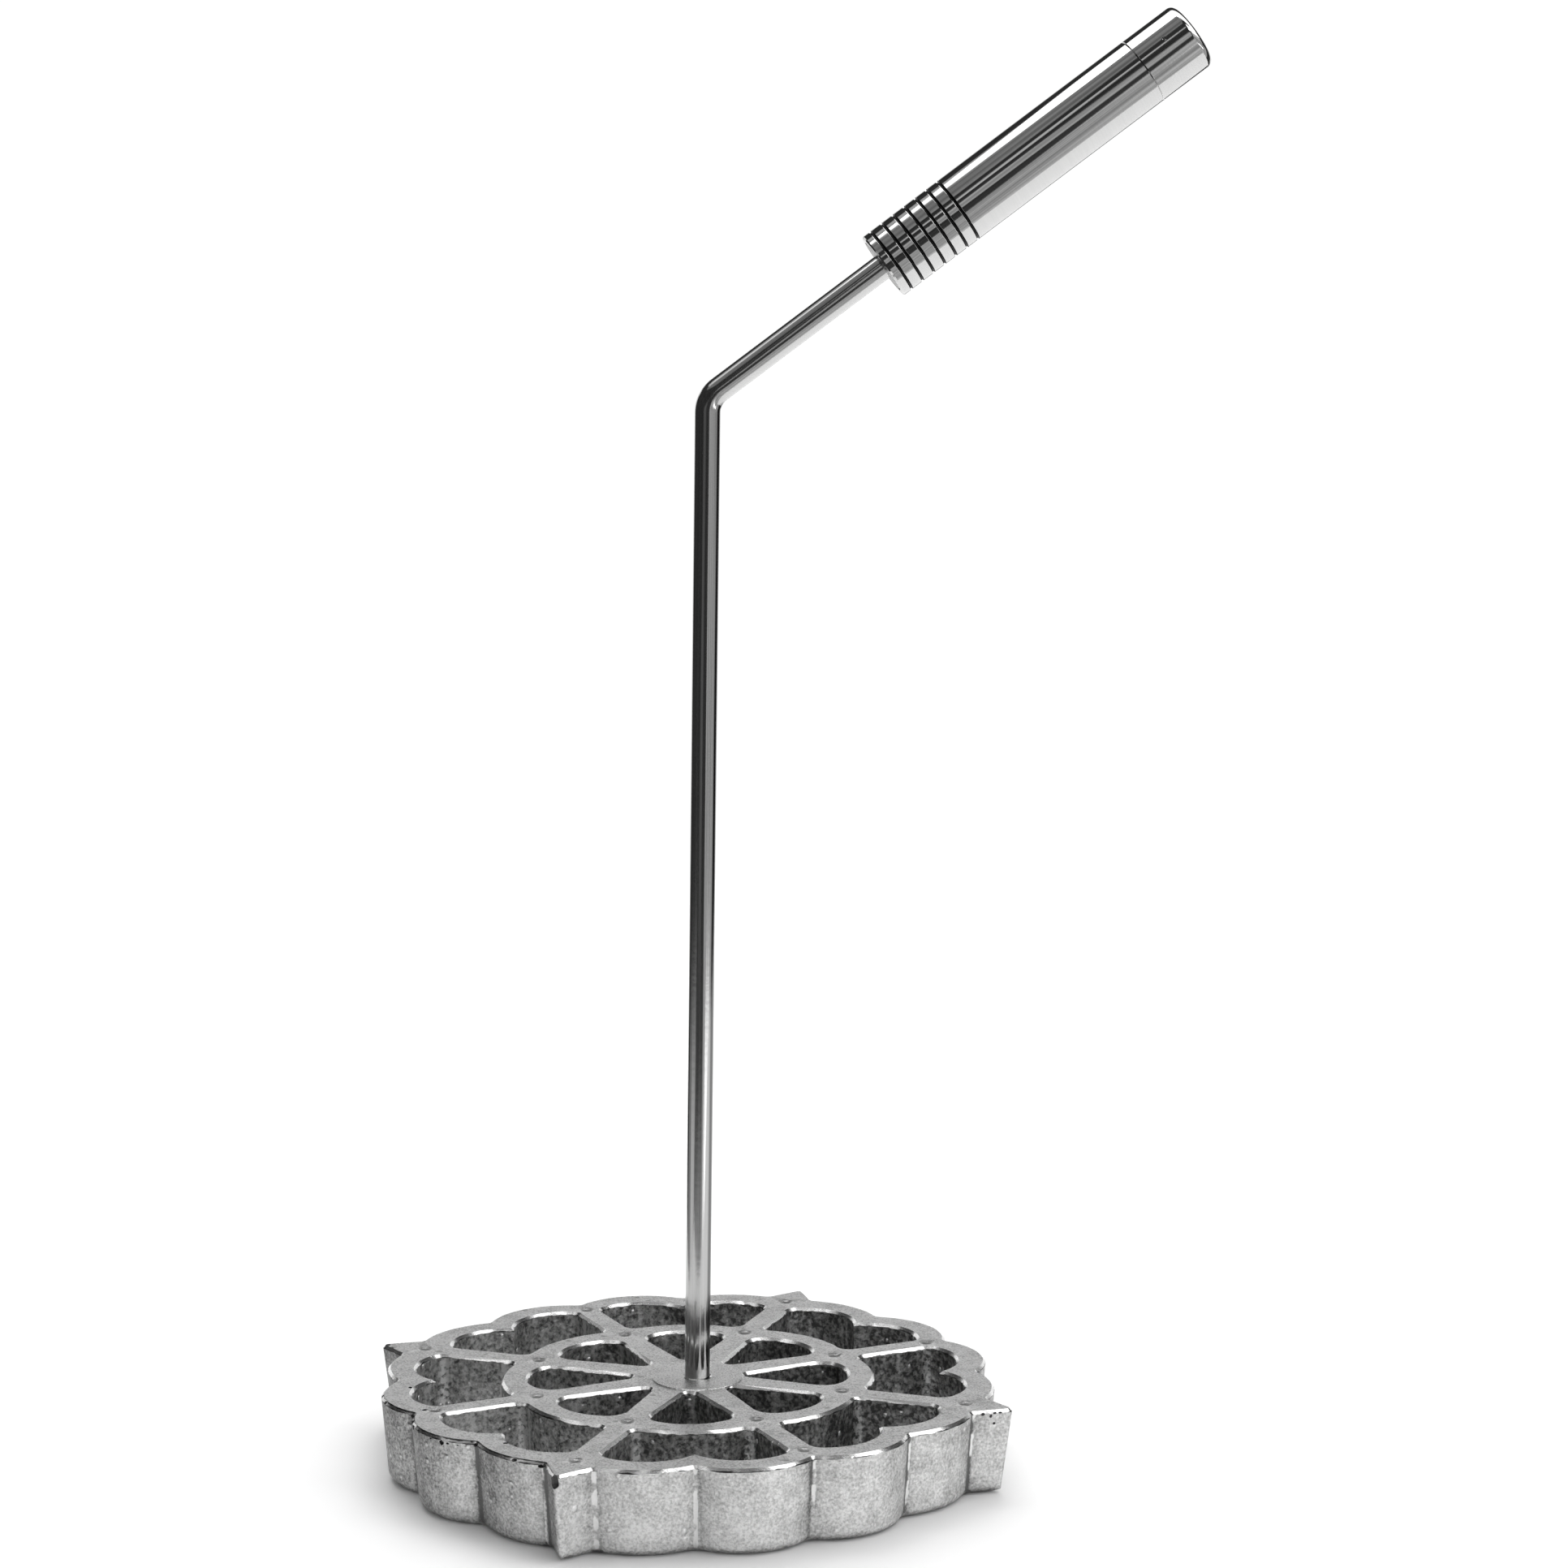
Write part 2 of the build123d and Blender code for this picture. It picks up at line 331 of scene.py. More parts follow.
# Effects that several finishes share, and wear, painted shade and painted highlights that follow the head's pattern
wear = {
    # grain and lines: each noise has its scale, detail and roughness, but the grain's scale is an input
    "grainNoise": (3.0, 0.65),
    "swellNoise": (330.0, 3.0, 0.6),
    "speckSize": (0.10, 0.38, 1.0, 0.0),
    "lineNoise": (1.0, 3.0, 0.6),
    "scratchNoise": (0.31, 1.0),
    "scratches": (0.68, 0.74),
    # the pattern
    "halfCell": radians(22.5),  # it repeats from spoke to spoke, and every second one ends in a point
    "outerWall": (45.0 * mm, 45.6 * mm),  # distance from the middle beyond which a wall is an outer one
    # creases between the scallops, with painted highlight and painted shade
    "valleys": (4.73, 22.5, 45.0),  # degrees from a spoke with a point
    "rimReach": 47 * mm,
    "creaseNoise": 500.0,
    "creaseWidth": (0.14 * mm, 0.42 * mm, 1.0, 0.0),
    "rubbed": (-30 * mm, -12 * mm, 0.15, 1.0),  # along x, little at the left
    "rubbedNoise": 340.0,
    "rubbedPatches": (0.38, 0.55),
    "dirtWidth": (0.2 * mm, 1.5 * mm, 1.0, 0.0),
    "dirtFacing": (-0.95, -0.55, 0.25, 1.0),  # less painted shade on the walls that face the front
    # upright corners of the outer cells, where their sides meet the spokes, with a painted highlight
    "spokeSide": 2.6 * mm,
    "cornerAlong": (0.3 * mm, 0.9 * mm, 1.0, 0.0),
    "cornerAcross": (0.4 * mm, 1.1 * mm, 1.0, 0.0),
    "cornerNoise": 1400.0,
    "cornerPatches": (0.42, 0.56),
    # the small round marks, with painted shade and a painted rim highlight
    "ringMark": 26.0 * mm,  # distance from the middle
    "rimMark": 42.9 * mm,
    "pointMark": 3.4 * mm,  # so much farther out on a spoke with a point
    "nearPoint": (radians(20), radians(25), 1.0, 0.0),
    "stainSize": (0.4 * mm, 1.0 * mm, 1.0, 0.0),
    "stainNoise": 900.0,
    "stainWander": 0.8 * mm,
    "markRim": 1.2 * mm,
    "markRimWidth": (0.0, 0.25 * mm, 1.0, 0.0),
}


def roundTheHead(tree, vector):
    # place, azimuth from a spoke, and distance from the middle
    way = split(tree, vector)
    azimuth = combine(tree, "ADD", combine(tree, "ARCTAN2", way["Y"], way["X"]), wear["halfCell"])
    return way, azimuth, lengthOf(tree, way["X"], way["Y"])


def makeCastGrain():
    # sand-cast skin: fine grain, slow swell, and small raised or sunken specks
    tree, given, result = newGroup("castGrain", {"Grain": 2600.0, "Specks": 900.0, "Share": 0.9},
                                   ("Grain", "Swell", "Speck"))
    fine = noiseOf(tree, given["Vector"], given["Grain"], *wear["grainNoise"])
    swell = noiseOf(tree, given["Vector"], *wear["swellNoise"])
    cell = addNode(tree, "TexVoronoi", {"Vector": given["Vector"], "Scale": given["Specks"]})
    near = fade(tree, cell.outputs["Distance"], *wear["speckSize"])
    lot = addNode(tree, "SeparateColor", {0: cell.outputs["Color"]}).outputs[0]
    chosen = combine(tree, "GREATER_THAN", lot, given["Share"])
    return putOut(tree, result, Grain=fine, Swell=swell, Speck=multiply(tree, near, chosen))


def makeFineLines():
    # drawn, ground or turned lines along the first axis of the vector
    tree, given, result = newGroup("fineLines", {"Along": 25.0, "Across": 5200.0}, ("Lines", "Scratch"))
    scale = addNode(tree, "CombineXYZ", {0: given["Along"], 1: given["Across"], 2: given["Across"]}).outputs[0]
    spread = addNode(tree, "VectorMath", {0: given["Vector"], 1: scale}, operation="MULTIPLY").outputs[0]
    lines = noiseOf(tree, spread, *wear["lineNoise"])
    sparse = noiseOf(tree, spread, *wear["scratchNoise"])
    return putOut(tree, result, Lines=lines, Scratch=fade(tree, sparse, *wear["scratches"]))


def makeCornerLines():
    # where two scallops meet the wall: a pale crease that is partly worn and partly a painted highlight, with
    # painted shade beside it
    tree, given, result = newGroup("cornerLines", {"Wander": 0.5 * mm}, ("Crease", "Dirt"))
    way, azimuth, reach = roundTheHead(tree, given["Vector"])
    turn = combine(tree, "PINGPONG", azimuth, 2 * wear["halfCell"])
    away = pi
    for valley in wear["valleys"]:
        away = combine(tree, "MINIMUM", away, awayFrom(tree, turn, radians(valley)))
    drift = driftOf(tree, given["Vector"], wear["creaseNoise"])
    away = combine(tree, "ABSOLUTE", addUp(tree, (away, wear["rimReach"]), (drift, given["Wander"])))
    outside = fade(tree, reach, *wear["outerWall"])
    patchy = fade(tree, noiseOf(tree, given["Vector"], wear["rubbedNoise"]), *wear["rubbedPatches"])
    rubbed = multiply(tree, outside, fade(tree, way["X"], *wear["rubbed"]), patchy)
    crease = multiply(tree, fade(tree, away, *wear["creaseWidth"]), rubbed)
    facing = fade(tree, facingOf(tree)["Y"], *wear["dirtFacing"])
    dirt = multiply(tree, fade(tree, away, *wear["dirtWidth"]), outside, facing)
    return putOut(tree, result, Crease=crease, Dirt=combine(tree, "SUBTRACT", dirt, crease))


def makeCellCorners():
    # the rounded upright corners beside the spokes, with a painted highlight in patches
    tree, given, result = newGroup("cellCorners", {"Along": 29.3 * mm, "Further": 41.7 * mm}, ("Rub",))
    way, azimuth, reach = roundTheHead(tree, given["Vector"])
    turn = combine(tree, "PINGPONG", azimuth, wear["halfCell"])
    along = multiply(tree, reach, combine(tree, "COSINE", turn))
    across = multiply(tree, reach, combine(tree, "SINE", turn))
    away = combine(tree, "MINIMUM", awayFrom(tree, along, given["Along"]), awayFrom(tree, along, given["Further"]))
    beside = awayFrom(tree, across, wear["spokeSide"])
    patchy = fade(tree, noiseOf(tree, given["Vector"], wear["cornerNoise"]), *wear["cornerPatches"])
    rub = multiply(tree, fade(tree, away, *wear["cornerAlong"]), fade(tree, beside, *wear["cornerAcross"]), patchy)
    return putOut(tree, result, Rub=rub)


def makeMarkStains():
    # painted shade in the small round marks on the spokes, and a painted highlight on their rims
    tree, given, result = newGroup("markStains", {}, ("Stain", "Rim"))
    way, azimuth, reach = roundTheHead(tree, given["Vector"])
    turn = combine(tree, "PINGPONG", azimuth, wear["halfCell"])
    fromPoint = combine(tree, "PINGPONG", azimuth, 2 * wear["halfCell"])
    atPoint = fade(tree, fromPoint, *wear["nearPoint"])
    outer = addUp(tree, (atPoint, wear["pointMark"]), (reach, -1.0))
    outer = combine(tree, "ABSOLUTE", combine(tree, "ADD", outer, wear["rimMark"]))
    along = combine(tree, "MINIMUM", awayFrom(tree, reach, wear["ringMark"]), outer)
    off = lengthOf(tree, along, multiply(tree, turn, reach))
    off = addUp(tree, (off, 1.0), (driftOf(tree, given["Vector"], wear["stainNoise"]), wear["stainWander"]))
    stain = fade(tree, off, *wear["stainSize"])
    rim = fade(tree, awayFrom(tree, off, wear["markRim"]), *wear["markRimWidth"])
    return putOut(tree, result, Stain=stain, Rim=rim)


castGrain = makeCastGrain()
fineLines = makeFineLines()
cornerLines = makeCornerLines()
cellCorners = makeCellCorners()
markStains = makeMarkStains()


# Finishes: each has its darkest and lightest grey, its roughness and the depth of its relief
finish = {
    "groundTop": {
        "grey": (0.50, 1.0), "rough": (0.30, 0.42), "relief": 0.05 * mm,
        "contrast": (1.0, 1.66),
        "grain": {"Grain": 3400.0, "Specks": 520.0, "Share": 0.93},
        "scuffs": {"Along": 120.0, "Across": 4200.0},
        "scuffTurn": radians(24),
    },
    "cutEdge": {
        "grey": (0.10, 0.95), "rough": (0.18, 0.28), "relief": 0.014 * mm, "shift": 0.65,
        "grain": {"Grain": 2200.0, "Specks": 1100.0, "Share": 0.95},
        "burrNoise": 700.0,
        "burrWander": 0.5 * mm,
        "lowerBurr": (0.40 * mm, 0.47 * mm),  # below the top face
        "upperBurr": (0.08 * mm, 0.16 * mm, 1.0, 0.0),
        "knockedUpTo": (-114.5, -112.0, 1.0, 0.0),  # azimuth in degrees
        "outside": (45 * mm, 45.5 * mm),
    },
    "castWall": {
        "grey": (0.18, 0.92), "rough": (0.46, 0.62), "relief": 0.13 * mm, "shift": -0.50,
        "grain": {"Grain": 2300.0, "Specks": 620.0, "Share": 0.90},
        "foot": (0.4 * mm, 1.4 * mm, 1.0, 0.0),  # heights of the painted contact shadow at the foot
        # painted light: the walls lighter towards the bottom
        "low": (3 * mm, 12 * mm, 1.0, 0.0),
        "dullLeft": (-1.0, -0.2, 0.60, 0.0),  # by how far the wall faces left or right
        "dullRight": (0.45, 0.95, 0.0, 0.20),
        "dullUnder": (0.0, 48 * mm, 0.0, 0.08),  # by its place along x
    },
    # painted shade: the cell walls are a much darker copy of the cast walls
    "cellWall": {
        "grey": (0.12, 0.80), "rough": (0.34, 0.52), "relief": 0.14 * mm, "shift": -1.62,
        "grain": {"Grain": 1250.0, "Specks": 820.0, "Share": 0.93},
        "streakScale": (420.0, 420.0, 25.0),
        "streaks": (0.56, 0.72),
        "clean": (-38 * mm, 18 * mm, 0.26, -0.08),  # painted light, lighter at the left, by its place along x
    },
    "chipped": {"grey": (0.02, 0.20), "rough": (0.5, 0.7), "relief": 0.08 * mm, "grain": {"Grain": 2600.0}},
    "drawnSteel": {
        "grey": (0.15, 0.60), "rough": (0.08, 0.15), "relief": 0.004 * mm, "shift": 0.6,
        "lines": {"Along": 14.0, "Across": 3400.0},
        "ripple": 900.0,
        "filmSide": (0.62, 0.86),  # by how far the surface faces right, and forwards
        "filmFront": (-0.05, 0.15, 1.0, 0.0),
        "cleaner": (160 * mm, 172 * mm),  # distance along the wire
    },
    "chrome": {
        "grey": (0.58, 0.66), "rough": (0.035, 0.08), "relief": 0.0012 * mm,
        "grain": {"Specks": 900.0, "Share": 0.994},
        "lines": {"Along": 22.0, "Across": 2600.0},
        "ringScale": (5200.0, 60.0, 60.0),
    },
    "grooveShade": {"grey": (0.01, 0.04), "rough": (0.4, 0.6), "relief": 0.02 * mm, "grain": {"Grain": 5200.0}},
    "turnedSteel": {"grey": (0.35, 0.50), "rough": (0.22, 0.36), "relief": 0.01 * mm, "grain": {"Grain": 4200.0}},
}


def setFinish(tree, shader, spec, tone, roughBy, height):
    if "shift" in spec:
        tone = combine(tree, "ADD", tone, spec["shift"])
    mix = addNode(tree, "Mix", {0: tone}, data_type="RGBA")
    for socket, grey in zip((mix.inputs[6], mix.inputs[7]), spec["grey"]):
        socket.default_value = (grey, grey, grey * 0.995, 1)
    low, high = spec["rough"]
    rough = addNode(tree, "MapRange", {"Value": roughBy, "To Min": low, "To Max": high})
    bump = addNode(tree, "Bump", {"Height": height, "Distance": spec["relief"], "Strength": 1.0})
    tree.links.new(mix.outputs[2], shader.inputs["Base Color"])
    tree.links.new(rough.outputs["Result"], shader.inputs["Roughness"])
    tree.links.new(bump.outputs[0], shader.inputs["Normal"])


def makeGroundTop():
    material, tree, shader = newMaterial("groundTop")
    spec, place = finish["groundTop"], objectPlace(tree)
    grain = useGroup(tree, castGrain, place, **spec["grain"])
    turned = addNode(tree, "Mapping", {"Vector": place, "Rotation": (0, 0, spec["scuffTurn"])}).outputs[0]
    scuffs = useGroup(tree, fineLines, turned, **spec["scuffs"])
    mark = useGroup(tree, markStains, place)
    # painted shade in the marks, painted highlight on their rims
    tone = addUp(tree, (grain["Grain"], 2.1), (grain["Swell"], 0.7), (grain["Speck"], -0.6),
                 (mark["Stain"], -0.5), (mark["Rim"], 0.25))
    height = addUp(tree, (grain["Grain"], 1.8), (grain["Speck"], -1.6), (scuffs["Lines"], 0.4),
                   (grain["Swell"], 2.0))
    setFinish(tree, shader, spec, fade(tree, tone, *spec["contrast"]), grain["Swell"], height)
    return material


def makeCutEdge():
    material, tree, shader = newMaterial("cutEdge")
    spec, place = finish["cutEdge"], objectPlace(tree)
    grain = useGroup(tree, castGrain, place, **spec["grain"])
    # dark broken lines along the lower border, and on the knocked stretch along the upper one
    way = split(tree, place)
    drop = combine(tree, "SUBTRACT", line["topZ"], way["Z"])
    drop = addUp(tree, (drop, 1.0), (driftOf(tree, place, spec["burrNoise"]), spec["burrWander"]))
    azimuth = multiply(tree, combine(tree, "ARCTAN2", way["Y"], way["X"]), degrees(1))
    outside = fade(tree, lengthOf(tree, way["X"], way["Y"]), *spec["outside"])
    knocked = multiply(tree, fade(tree, azimuth, *spec["knockedUpTo"]), outside)
    upper = multiply(tree, fade(tree, drop, *spec["upperBurr"]), knocked)
    burr = combine(tree, "MAXIMUM", fade(tree, drop, *spec["lowerBurr"]), upper)
    tone = addUp(tree, (grain["Grain"], 0.5), (burr, -1.0), (knocked, -0.25))
    height = addUp(tree, (grain["Grain"], 1.0), (grain["Speck"], -1.2))
    setFinish(tree, shader, spec, tone, grain["Swell"], height)
    return material


def makeCastWall():
    material, tree, shader = newMaterial("castWall")
    spec, place = finish["castWall"], objectPlace(tree)
    grain = useGroup(tree, castGrain, place, **spec["grain"])
    corner = useGroup(tree, cornerLines, place)
    way, facing = split(tree, place), facingOf(tree)["X"]
    # painted contact shadow at the foot of the wall, and painted light lower down
    foot, low = fade(tree, way["Z"], *spec["foot"]), fade(tree, way["Z"], *spec["low"])
    # painted shade on the walls that face left, a little on those that face right, and under the handle
    dull = addUp(tree, (fade(tree, facing, *spec["dullLeft"]), 1.0), (fade(tree, facing, *spec["dullRight"]), 1.0),
                 (fade(tree, way["X"], *spec["dullUnder"]), 1.0))
    # the specks are painted lighter as glints, besides their raised bump
    tone = addUp(tree, (grain["Grain"], 1.6), (grain["Swell"], 0.8), (grain["Speck"], 0.4), (corner["Crease"], 0.45),
                 (corner["Dirt"], -0.8), (foot, -0.4), (low, 0.12), (dull, -1.0))
    height = addUp(tree, (grain["Grain"], 1.0), (grain["Swell"], 2.2), (grain["Speck"], 1.6))
    setFinish(tree, shader, spec, tone, grain["Swell"], height)
    return material


def makeCellWall():
    material, tree, shader = newMaterial("cellWall")
    spec, place = finish["cellWall"], objectPlace(tree)
    grain = useGroup(tree, castGrain, place, **spec["grain"])
    # the pattern was drawn out upwards and left pale streaks
    upright = addNode(tree, "Mapping", {"Vector": place, "Scale": spec["streakScale"]}).outputs[0]
    streaks = fade(tree, noiseOf(tree, upright, 1.0), *spec["streaks"])
    # painted light: the cells at the left are lighter
    clean = fade(tree, split(tree, place)["X"], *spec["clean"])
    rub = useGroup(tree, cellCorners, place)["Rub"]
    # the specks are painted pale as glints, besides their raised bump
    tone = addUp(tree, (grain["Grain"], 3.1), (grain["Swell"], 0.8), (grain["Speck"], 2.2), (streaks, 0.6),
                 (clean, 1.0), (rub, 0.9))
    height = addUp(tree, (grain["Grain"], 1.3), (grain["Swell"], 2.0), (grain["Speck"], 4.0))
    setFinish(tree, shader, spec, tone, grain["Swell"], height)
    return material


def makeDrawnSteel():
    material, tree, shader = newMaterial("drawnSteel")
    spec, place = finish["drawnSteel"], straightPlace(tree)
    drawn = useGroup(tree, fineLines, place, **spec["lines"])
    # a painted dark reflection on the front of the side that the handle leans to
    side = facingOf(tree)
    film = multiply(tree, fade(tree, side["Y"], *spec["filmFront"]), fade(tree, side["X"], *spec["filmSide"]))
    # above the bend the wire is lighter
    cleaner = fade(tree, split(tree, place)["X"], *spec["cleaner"])
    tone = addUp(tree, (drawn["Lines"], 0.4), (film, -1.0), (cleaner, 0.3))
    ripple = noiseOf(tree, place, spec["ripple"])
    height = addUp(tree, (drawn["Lines"], 1.0), (drawn["Scratch"], -0.6), (ripple, 1.0))
    setFinish(tree, shader, spec, tone, drawn["Lines"], height)
    return material


def makeChrome():
    material, tree, shader = newMaterial("chrome")
    spec, place = finish["chrome"], straightPlace(tree)
    # turning lines run round the handle, fine streaks run along it
    turned = addNode(tree, "Mapping", {"Vector": place, "Scale": spec["ringScale"]}).outputs[0]
    rings = noiseOf(tree, turned, 1.0)
    streaks = useGroup(tree, fineLines, place, **spec["lines"])["Lines"]
    pits = useGroup(tree, castGrain, place, **spec["grain"])["Speck"]
    tone = addUp(tree, (rings, 1.0), (pits, -1.0))
    height = addUp(tree, (rings, 1.0), (streaks, 0.8), (pits, -40.0))
    setFinish(tree, shader, spec, tone, streaks, height)
    return material


def makeGrainy(name):
    # a turned or dirty surface with nothing but fine grain
    material, tree, shader = newMaterial(name)
    grain = useGroup(tree, castGrain, objectPlace(tree), **finish[name]["grain"])
    setFinish(tree, shader, finish[name], grain["Grain"], grain["Swell"], grain["Grain"])
    return material


headMaterials = (makeGroundTop(), makeCutEdge(), makeCastWall(), makeCellWall(), makeGrainy("chipped"))
drawnSteel, chrome = makeDrawnSteel(), makeChrome()
grooveShade, turnedSteel = makeGrainy("grooveShade"), makeGrainy("turnedSteel")
print("finishes made")


# Mesh helpers
def putPiece(name, bm, materials, nodeName, sharpAngle=radians(30)):
    mesh = bpy.data.meshes.new(name)
    bm.to_mesh(mesh)
    bm.free()
    for material in materials:
        mesh.materials.append(material)
    return putMesh(name, mesh, nodeName, sharpAngle)


def putMesh(name, mesh, nodeName, sharpAngle):
    mesh.shade_smooth()
    mesh.set_sharp_from_angle(angle=sharpAngle)
    piece = bpy.data.objects.new(name, mesh)
    show(piece)
    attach(piece, "root")
    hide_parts(nodeName)
    return piece


# The cast head: the node's own shape, with a hand-dressed edge and chips
topFace, dressedEdge, outerWall, innerWall, chipFace = range(5)  # as in headMaterials
castHead = {
    "merge": 0.002 * mm,
    # how far a face looks up (z of its normal) tells what it is
    "levelFace": 0.8,
    "slopingEdge": 0.4,
    "underside": -0.98,
    "uprightWall": 0.9,
    "seatRise": 0.01 * mm,  # faces of the rod's seat lie higher than this above the top face
    "markDepth": 0.4 * mm,  # faces of the marks lie within this below it
    "wallReach": 46 * mm,  # only outer walls go farther out
    "flatness": radians(0.4),  # facets closer than this to one plane become one face
    "bands": (1.0 * mm, 2.2 * mm, 8.0 * mm),  # cuts round the walls, below the top face
    "edgeWidth": 0.5 * mm,
    "edgeStep": 0.7 * mm,  # longest piece of a dressed edge
    "mostCuts": 40,
    # how far the edge's upper and lower border wander, its coarse and fine scale, the share of the fine
    "upperWander": (0.07 * mm, 420, 1300, 0.5),
    "lowerWander": (0.11 * mm, 380, 1250, 0.6),
    "onTop": 0.05 * mm,  # corners within this below the top face are on the upper border
    "onRim": 0.02 * mm,  # corners as near as this to it can get a chip
    "chipReach": 43.5 * mm,  # chips lie farther out than this
    "chipAzimuth": (-178, -116),  # the stretch of rim that was knocked
    "chipCount": 46,
    "chipSize": (0.16 * mm, 0.52 * mm),
    "chipDrop": (0.15, 0.95),  # millimetres below the top face
    "chipOut": 0.35 * mm,
    "chipTall": (0.6, 1.0),  # of its size, as the next one
    "chipWide": (0.9, 1.7),
    "chipTurn": 0.4,
    "chipSpacing": 1.45,  # of the two sizes together
    "chipLumps": (0.3, 1.7, 4000),  # how deep, and the scales on the chip and from chip to chip
    # chips in the points: azimuth, distance from the middle, height, size, and how tall for its size
    "pointChips": (
        (-112.8, 53.9, 12.8, 0.80, 1.8),
        (-26.1, 50.2, 13.2, 0.26, 1.1), (-25.17, 51.23, 12.8, 0.24, 1.2),
        (-24.6, 51.67, 13.25, 0.26, 0.5), (-24.73, 51.62, 11.6, 0.24, 1.0),
        (157.9, 53.0, 13.75, 0.45, 0.8), (159.2, 51.7, 13.8, 0.35, 0.8), (161.5, 50.4, 13.75, 0.3, 0.8),
        (-175.0, 48.5, 12.9, 0.45, 0.9), (-176.5, 47.9, 12.0, 0.3, 0.9), (-179.0, 47.0, 13.3, 0.4, 1.0),
        (-24.1, 52.4, 13.25, 0.26, 0.5),
    ),
    "sharpAngle": radians(32),
    "seed": 11,
}


def azimuthOf(at):
    return degrees(atan2(at.y, at.x))


def copiedHead():
    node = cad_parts["rosette_head"]
    bm = bmesh.new()
    bm.from_mesh(node.data)
    bmesh.ops.transform(bm, matrix=node.matrix_world, verts=bm.verts)
    bmesh.ops.remove_doubles(bm, verts=bm.verts, dist=castHead["merge"])
    return bm


def headSurfaces(bm):
    # tells top face, dressed edge, outer wall and cell walls apart
    topZ = line["topZ"]
    walls = set()
    for face in bm.faces:
        above, up = face.calc_center_median().z - topZ, face.normal.z
        if above > castHead["seatRise"] or (up > castHead["levelFace"] and above > -castHead["markDepth"]):
            face.material_index = topFace
        elif up > castHead["slopingEdge"] and above > -castHead["edgeWidth"]:
            face.material_index = dressedEdge
        elif up < castHead["underside"]:
            face.material_index = outerWall
        else:
            walls.add(face)
    while walls:
        island, front = set(), [next(iter(walls))]
        while front:
            face = front.pop()
            if face in walls:
                walls.discard(face)
                island.add(face)
                front.extend(other for rim in face.edges for other in rim.link_faces)
        reach = max(hypot(corner.co.x, corner.co.y) for face in island for corner in face.verts)
        for face in island:
            face.material_index = outerWall if reach > castHead["wallReach"] else innerWall


def flattenWalls(bm):
    # joins the small facets of the walls
    inWalls = [rim for rim in bm.edges
               if all(face.material_index > dressedEdge and abs(face.normal.z) < castHead["uprightWall"]
                      for face in rim.link_faces)]
    bmesh.ops.dissolve_limit(bm, angle_limit=castHead["flatness"], verts=[], edges=inWalls)


def dressEdges(bm):
    # the two borders of every dressed edge wander a little, as a file leaves them
    topZ = line["topZ"]
    for depth in castHead["bands"]:
        everything = list(bm.verts) + list(bm.edges) + list(bm.faces)
        bmesh.ops.bisect_plane(bm, geom=everything, plane_co=(0, 0, topZ - depth), plane_no=(0, 0, 1))
    byCuts = {}
    for rim in bm.edges:
        kinds = {face.material_index for face in rim.link_faces}
        if len(kinds) == 2 and dressedEdge in kinds:
            cuts = min(int(rim.calc_length() / castHead["edgeStep"]), castHead["mostCuts"])
            byCuts.setdefault(cuts, []).append(rim)
    for cuts, rims in byCuts.items():
        if cuts:
            bmesh.ops.subdivide_edges(bm, edges=rims, cuts=cuts)
    for corner in bm.verts:
        kinds = {face.material_index for face in corner.link_faces}
        if len(kinds) > 1 and dressedEdge in kinds:
            at = corner.co
            if at.z > topZ - castHead["onTop"]:
                most, coarse, fine, share = castHead["upperWander"]
                drift = noise.noise_vector(at * coarse) * most + noise.noise_vector(at * fine) * most * share
                corner.co += Vector((drift.x, drift.y, 0))
            elif kinds & {outerWall, innerWall}:
                most, coarse, fine, share = castHead["lowerWander"]
                drift = noise.noise(at * coarse) * most + noise.noise(at * fine) * most * share
                corner.co += Vector((0, 0, drift))


def chipSpots(bm):
    # place, size and how tall: on the knocked stretch of rim, and in three of the points
    rim = [corner.co.copy() for corner in bm.verts if abs(corner.co.z - line["topZ"]) < castHead["onRim"]
           and hypot(corner.co.x, corner.co.y) > castHead["chipReach"]]
    rim.sort(key=azimuthOf)
    low, high = castHead["chipAzimuth"]
    knocked = [at for at in rim if low < azimuthOf(at) < high]
    spots = []
    for count in range(castHead["chipCount"]):
        at = random.choice(knocked)
        out = Vector((at.x, at.y, 0)).normalized()
        drop = random.uniform(*castHead["chipDrop"]) * mm
        size = random.uniform(*castHead["chipSize"])
        tall = random.uniform(*castHead["chipTall"])
        spots.append((at + out * castHead["chipOut"] - Vector((0, 0, drop)), size, tall))
    for azimuth, reach, z, size, tall in castHead["pointChips"]:
        turn = radians(azimuth)
        spots.append((Vector((cos(turn) * reach, sin(turn) * reach, z)) * mm, size * mm, tall))
    return spots


def chipCutters(bm):
    # small lumps that bite into the rim, none of them touching another
    random.seed(castHead["seed"])
    spots = chipSpots(bm)
    deep, lumpScale, placeScale = castHead["chipLumps"]
    cutters = bmesh.new()
    kept = []
    for at, size, tall in spots:
        if any((at - other).length < (size + otherSize) * castHead["chipSpacing"] for other, otherSize in kept):
            continue
        kept.append((at, size))
        made = bmesh.ops.create_icosphere(cutters, subdivisions=2, radius=1.0)["verts"]
        wide = random.uniform(*castHead["chipWide"])
        askew = random.uniform(-castHead["chipTurn"], castHead["chipTurn"])
        turn = Matrix.Rotation(atan2(at.y, at.x) + pi / 2 + askew, 4, "Z")
        shape = Matrix.Diagonal((size * wide, size, size * tall, 1))
        for corner in made:
            corner.co *= 1 + deep * noise.noise(corner.co * lumpScale + at * placeScale)
        bmesh.ops.transform(cutters, matrix=Matrix.Translation(at) @ turn @ shape, verts=made)
    for face in cutters.faces:
        face.material_index = chipFace
    return cutters


